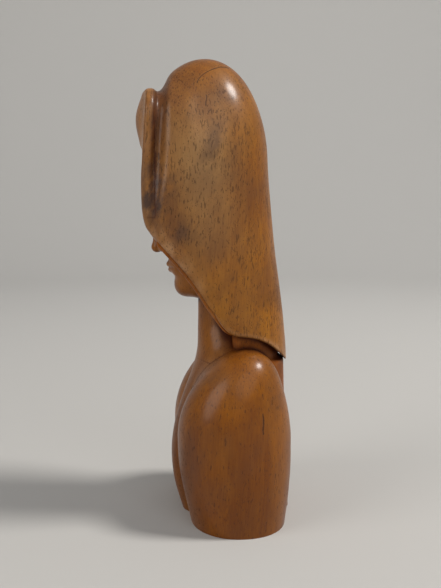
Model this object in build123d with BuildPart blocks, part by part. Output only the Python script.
"""A carved bust of a veiled woman, standing on its own flat base.

The bust is carved wood. Each node is one carved mass, bounded by the grooves, undercuts and
edges that the carver cut between it and its neighbours, and the masses meet face to face.

Units are millimetres. The figure faces -Y, +X is its left, +Z is up, and the origin is on the
floor at the middle of the base.
"""

import os
from math import cos, radians, sin
from typing import NamedTuple

from build123d import *

# Driving dimensions
HEIGHT = 280.0  # floor to the crown of the veil
BASE_HALF_DEPTH = 34.2  # the base reaches this far in front of the origin and behind it
FALL_FRONT = 8.0  # the under-veil's fall down the back is behind this plane, the gown in front
NECK_FRONT = -24.2
NECK_FOOT = 98.0  # where the neck and the nape of the under-veil stand on the body
NECK_TOP = 152.0
NAPE_FRONT = -5.0  # the under-veil behind the neck is behind this plane
HEM_PROUD = 5.0  # the hem of the veil stands this far proud of the under-veil below it

# The face opening and the fold over the brow, whose top corners are round seen from the front
OPENING_HALF_WIDTH = 23.5
OPENING_TOP = 227.0
OPENING_CORNER = 20.0
OPENING_BACK = -24.0
COIF_SHOWING = 2.2  # the under-veil shows this far inside the edge of the opening
FOLD_HALF_WIDTH = 31.0
FOLD_TOP = 260.0
FOLD_CORNER = 17.0
FOLD_PROUD = 1.3  # the fold stands this far proud of the veil behind it
FOLD_SHADOW = -30.0  # behind the fold, the veil keeps its outline back to this plane
FOLD_FOOT = 186.0  # where the fold runs out into the edges of the veil
FOLD_FRONT = -60.0
FOLD_BACK = -50.5  # the fold is in front of this plane, the veil behind it
FOLD_BOW_HALF_WIDTH = 86.0  # the half width of the ellipse that bows the fold's front
FOLD_ROUND = 2.4

# The head, bowed a little. Its height is 3.5 times a third of the face, from hairline to chin.
FACE_THIRD = 30.0
HEAD_HEIGHT = 3.5 * FACE_THIRD
HEAD_BOW = 12.0  # degrees
JAW = (0.0, -28.0, 137.0)  # the underside of the jaw
COIF_THICKNESS = 3.0  # the under-veil around the head
EYE_SPACING = 23.0  # from the middle of one lid to the middle of the other
LID_RADIUS = 7.5
LID_DEPTH = 1.0  # the middle of a lid's ball is this far behind the head's axis line
LIP_HALF_WIDTH = 9.0
LIP_HALF_HEIGHT = 2.4
LIP_DEPTH = -7.4  # the middle of the lips is this far in front of the head's axis line
CHIN_RADIUS = 8.0

FAR = 200.0  # beyond every part, for cutting
ABOVE = HEIGHT + FAR
LEVEL_STEP = 6.0  # the spacing of the ellipses that a mass is lofted through
TOLERANCE = 1e-6


class Row(NamedTuple):
    """One level of a carved mass: an ellipse that reaches from front to back."""

    z: float
    front: float
    back: float
    half_width: float
    middle_x: float = 0.0


# The middle of the body: in front it is the gown, and behind it the fall of the under-veil
CORE = [
    Row(0.0, -BASE_HALF_DEPTH, BASE_HALF_DEPTH, 20.0),
    Row(20.0, -39.7, 33.6, 22.0),
    Row(38.0, -41.2, 33.2, 24.0),
    Row(56.0, -39.0, 31.8, 26.0),
    Row(74.0, -33.8, 30.2, 28.0),
    Row(88.0, -28.5, 30.0, 31.0),
    Row(NECK_FOOT, -25.0, 30.2, 32.0),
]

# The left shoulder
SHOULDER = [
    Row(0.0, -30.0, 27.5, 34.0, 22.0),
    Row(18.0, -34.2, 29.6, 35.0, 22.5),
    Row(36.0, -37.3, 30.8, 35.0, 23.0),
    Row(52.0, -38.1, 30.8, 34.0, 23.5),
    Row(66.0, -36.3, 29.6, 31.7, 24.5),
    Row(78.0, -31.7, 27.8, 28.0, 26.0),
    Row(88.0, -25.5, 25.2, 23.5, 27.5),
    Row(97.0, -17.5, 21.2, 17.5, 29.0),
    Row(104.0, -7.5, 15.0, 9.0, 30.0),
]
SHOULDER_TOP = (30.5, 4.0, 106.5)

NECK = [
    Row(NECK_FOOT, NECK_FRONT - 0.6, 17.0, 31.5),
    Row(103.0, NECK_FRONT - 0.2, 15.0, 26.5),
    Row(108.0, NECK_FRONT, 12.5, 20.5),
    Row(114.0, NECK_FRONT, 9.5, 17.0),
    Row(122.0, NECK_FRONT, 8.0, 16.0),
    Row(NECK_TOP, NECK_FRONT, 8.0, 16.0),
]

# The veil before its front is cut to the side outline
VEIL = [
    Row(90.0, -40.0, 31.3, 32.5),
    Row(105.0, -44.0, 30.8, 33.6),
    Row(120.0, -50.0, 29.4, 34.8),
    Row(140.0, -59.0, 26.9, 36.2),
    Row(160.0, -67.0, 24.2, 37.6),
    Row(180.0, -71.0, 21.8, 38.6),
    Row(200.0, -72.0, 20.0, 39.0),
    Row(218.0, -70.0, 18.4, 38.4),
    Row(236.0, -64.0, 16.2, 36.2),
    Row(250.0, -56.5, 13.2, 33.0),
    Row(261.0, -50.5, 8.8, 28.0),
    Row(270.0, -43.0, 2.8, 21.5),
    Row(276.5, -33.5, -5.6, 13.0),
    Row(279.2, -26.0, -13.0, 6.0),
]
CROWN = (0.0, -19.4, HEIGHT)
NAPE_ROWS = 5  # the under-veil behind the neck follows the lowest rows of the veil

# The veil from the side, as (y, z): its hem from back to front, then its edge up to the fold
HEM = [(33.0, 91.0), (30.5, 96.0), (22.2, 105.5), (12.5, 112.3), (2.2, 115.2), (-6.0, 115.5)]
EDGE = [HEM[-1], (-17.2, 127.0), (-30.7, 147.8), (-43.4, 163.7), (-52.3, 174.8), (-56.6, FOLD_FOOT)]

# The hollow under the chin, between the neck and the sides of the veil
HOLLOW = [
    Row(90.0, -90.0, 2.0, 29.0),
    Row(118.0, -90.0, 0.0, 29.0),
    Row(136.0, -90.0, -6.0, 27.5),
    Row(158.0, -90.0, -16.0, 24.0),
]

# The head along its own axis: z is the height over the jaw, front and back are from the axis
HEAD = [
    Row(0.0, -3.5, 9.0, 7.5),
    Row(4.0, -7.5, 20.0, 13.0),
    Row(18.0, -8.0, 36.0, 19.0),
    Row(34.0, -8.5, 45.0, 22.8),
    Row(50.0, -9.0, 50.0, 25.4),
    Row(64.0, -10.0, 52.0, 26.6),
    Row(78.0, -8.5, 51.0, 26.2),
    Row(90.0, -4.0, 47.0, 23.0),
    Row(98.5, 3.5, 40.0, 17.0),
    Row(103.0, 11.0, 32.0, 10.0),
]
HEAD_TOP_DEPTH = 21.5  # the crown of the head is this far behind the axis line
NOSE = [
    Row(FACE_THIRD, -16.0, 0.0, 4.8),
    Row(1.5 * FACE_THIRD, -13.0, 0.0, 3.0),
    Row(2 * FACE_THIRD, -11.5, 0.0, 2.4),
]
EYE_LEVEL = HEAD_HEIGHT / 2
MOUTH_LEVEL = 2 / 3 * FACE_THIRD
CHIN_LEVEL = 7.0
BOW = radians(HEAD_BOW)
HEAD_AXIS = Plane(origin=JAW, x_dir=(1, 0, 0), z_dir=(0, -sin(BOW), cos(BOW)))


def between(rows, z):
    """The row at height z, on a smooth curve through the rows."""
    count = len(rows)
    low = max(i for i in range(count - 1) if rows[i].z <= z + TOLERANCE)
    a, b = rows[low], rows[low + 1]
    before, after = rows[max(low - 1, 0)], rows[min(low + 2, count - 1)]
    span = b.z - a.z
    t = (z - a.z) / span
    values = []
    for i in range(1, len(a)):
        slope_a = span * (b[i] - before[i]) / (b.z - before.z)
        slope_b = span * (after[i] - a[i]) / (after.z - a.z)
        rise = (3 * t * t - 2 * t**3) * (b[i] - a[i])
        values.append(a[i] + rise + (t - 2 * t * t + t**3) * slope_a + (t**3 - t * t) * slope_b)
    return Row(z, *values)


def column(rows, top=None, plane=Plane.XY):
    """A smooth solid through the rows, which ends in a point at top if one is given."""
    steps = max(round((rows[-1].z - rows[0].z) / LEVEL_STEP), len(rows))
    rise = (rows[-1].z - rows[0].z) / steps
    with BuildPart() as made:
        for step in range(steps + 1):
            row = between(rows, rows[0].z + step * rise)
            with BuildSketch(plane.offset(row.z)):
                with Locations((row.middle_x, (row.front + row.back) / 2)):
                    Ellipse(row.half_width, (row.back - row.front) / 2)
        ends = [Vertex(*top)] if top else []
        loft(sections=[*made.pending_faces, *ends])
    return made.part


def arch(half_width, corner, foot, top, front, back):
    """An upright block from front to back, with round top corners as seen from the front."""
    with BuildPart() as made:
        with BuildSketch(Plane.XZ.offset(-back)) as door:
            with Locations((0, (foot + top) / 2)):
                Rectangle(2 * half_width, top - foot)
            fillet(door.vertices().group_by(Axis.Y)[-1], corner)
        extrude(amount=back - front)
    return made.part


def grown(rows, by):
    """The rows of a mass that is thicker by that much all round."""
    return [Row(r.z, r.front - by, r.back + by, r.half_width + by) for r in rows]


def on_head(x, y, z):
    """A point of the head's own axes, in the frame of the figure."""
    return tuple(HEAD_AXIS.from_local_coords((x, y, z)))


core_mass = column(CORE)
neck_mass = column(NECK)
nape_mass = column(grown(VEIL[:NAPE_ROWS], -HEM_PROUD))
veil_mass = column(VEIL, top=CROWN)
hollow_mass = column(HOLLOW)
head_mass = column(HEAD, top=on_head(0.0, HEAD_TOP_DEPTH, HEAD_HEIGHT), plane=HEAD_AXIS)
coif_top = on_head(0.0, HEAD_TOP_DEPTH, HEAD_HEIGHT + COIF_THICKNESS)
coif_mass = column(grown(HEAD[1:], COIF_THICKNESS), top=coif_top, plane=HEAD_AXIS)
nose_mass = column(NOSE, plane=HEAD_AXIS)
shoulder_mass = column(SHOULDER, top=SHOULDER_TOP)
opening = arch(OPENING_HALF_WIDTH, OPENING_CORNER, NECK_FOOT, OPENING_TOP, -FAR, OPENING_BACK)
coif_half_width = OPENING_HALF_WIDTH - COIF_SHOWING
coif_corner = OPENING_CORNER - COIF_SHOWING
coif_edge_top = OPENING_TOP - COIF_SHOWING
coif_opening = arch(coif_half_width, coif_corner, NECK_FOOT, coif_edge_top, -FAR, OPENING_BACK)
shadow_half_width = FOLD_HALF_WIDTH - FOLD_PROUD
shadow_corner = FOLD_CORNER - FOLD_PROUD
shadow_top = FOLD_TOP - FOLD_PROUD
fold_shadow = arch(shadow_half_width, shadow_corner, FOLD_FOOT, shadow_top, FOLD_BACK, FOLD_SHADOW)

# The veil's outline from the side, cut from the whole width of the figure
with BuildPart() as outline:
    with BuildSketch(Plane.YZ):
        with BuildLine():
            hem = Spline(*HEM)
            edge = Spline(*EDGE)
            hem_end = (FAR, HEM[0][1])
            Polyline(edge @ 1, (FOLD_BACK, FOLD_FOOT), (FOLD_BACK, ABOVE), (FAR, ABOVE), hem_end, hem @ 0)
        make_face()
    extrude(amount=FAR, both=True)

# The fold over the brow, its front bowed across the figure
with BuildPart() as fold_bow:
    with BuildSketch(Plane.XY.offset(FOLD_FOOT)):
        Ellipse(FOLD_BOW_HALF_WIDTH, -FOLD_FRONT)
    extrude(amount=HEIGHT)

with BuildPart() as brow_fold:
    add(arch(FOLD_HALF_WIDTH, FOLD_CORNER, FOLD_FOOT, FOLD_TOP, -FAR, FOLD_BACK))
    add(fold_bow.part, mode=Mode.INTERSECT)
    add(opening, mode=Mode.SUBTRACT)
    front_edges = brow_fold.faces().sort_by(Axis.Y)[0].edges()
    above_foot = [e for e in front_edges if e.center().Z > FOLD_FOOT + FOLD_ROUND]
    fillet(above_foot, FOLD_ROUND)
brow_fold.part.label = "brow_fold"

with BuildPart() as lips:
    with BuildSketch(HEAD_AXIS.offset(MOUTH_LEVEL)):
        with Locations((0.0, LIP_DEPTH)):
            Ellipse(LIP_HALF_WIDTH, LIP_HALF_HEIGHT)
        with Locations((0.0, LIP_DEPTH + LIP_HALF_HEIGHT)):
            Rectangle(3 * LIP_HALF_WIDTH, 2 * LIP_HALF_HEIGHT, mode=Mode.SUBTRACT)
    lip_line = Axis(on_head(0.0, LIP_DEPTH, MOUTH_LEVEL), (1, 0, 0))
    revolve(axis=lip_line)

with BuildPart() as head:
    add(head_mass)
    add(nose_mass)
    add(lips.part)
    with Locations(*[on_head(side * EYE_SPACING / 2, LID_DEPTH, EYE_LEVEL) for side in (-1, 1)]):
        Sphere(LID_RADIUS)
    with Locations(on_head(0.0, 0.0, CHIN_LEVEL)):
        Sphere(CHIN_RADIUS)
    add(brow_fold.part, mode=Mode.SUBTRACT)
head.part.label = "head"

with BuildPart() as neck:
    add(neck_mass)
    add(head.part, mode=Mode.SUBTRACT)
neck.part.label = "neck"

with BuildPart() as nape:
    add(nape_mass)
    split(bisect_by=Plane.XZ.offset(-NAPE_FRONT), keep=Keep.BOTTOM)
    split(bisect_by=Plane.XY.offset(NECK_FOOT), keep=Keep.TOP)

# The front half of the core is the gown
with BuildPart() as gown:
    add(core_mass)
    split(bisect_by=Plane.XZ.offset(-FALL_FRONT), keep=Keep.TOP)
gown.part.label = "gown"

# The under-veil: a coif round the head, the nape behind the neck, and the fall down the back
with BuildPart() as under_veil:
    add(coif_mass)
    add(outline.part, mode=Mode.INTERSECT)
    add(coif_opening, mode=Mode.SUBTRACT)
    add(nape.part)
    add(core_mass)
    add(gown.part, mode=Mode.SUBTRACT)
    add(neck.part, mode=Mode.SUBTRACT)
    add(head.part, mode=Mode.SUBTRACT)
under_veil.part.label = "under_veil"

with BuildPart() as veil:
    add(veil_mass)
    add(fold_shadow)
    add(outline.part, mode=Mode.INTERSECT)
    add(opening, mode=Mode.SUBTRACT)
    add(hollow_mass, mode=Mode.SUBTRACT)
    for inner in (under_veil, head, neck, brow_fold):
        add(inner.part, mode=Mode.SUBTRACT)
veil.part.label = "veil"

with BuildPart() as left_shoulder:
    add(shoulder_mass)
    for inner in (gown, under_veil, neck):
        add(inner.part, mode=Mode.SUBTRACT)
left_shoulder.part.label = "left_shoulder"

with BuildPart() as right_shoulder:
    add(mirror(left_shoulder.part, about=Plane.YZ))
right_shoulder.part.label = "right_shoulder"

os.makedirs("parts", exist_ok=True)
for piece in (veil, brow_fold, under_veil, head, neck, gown, left_shoulder, right_shoulder):
    export_step(piece.part, f"parts/{piece.part.label}.step")
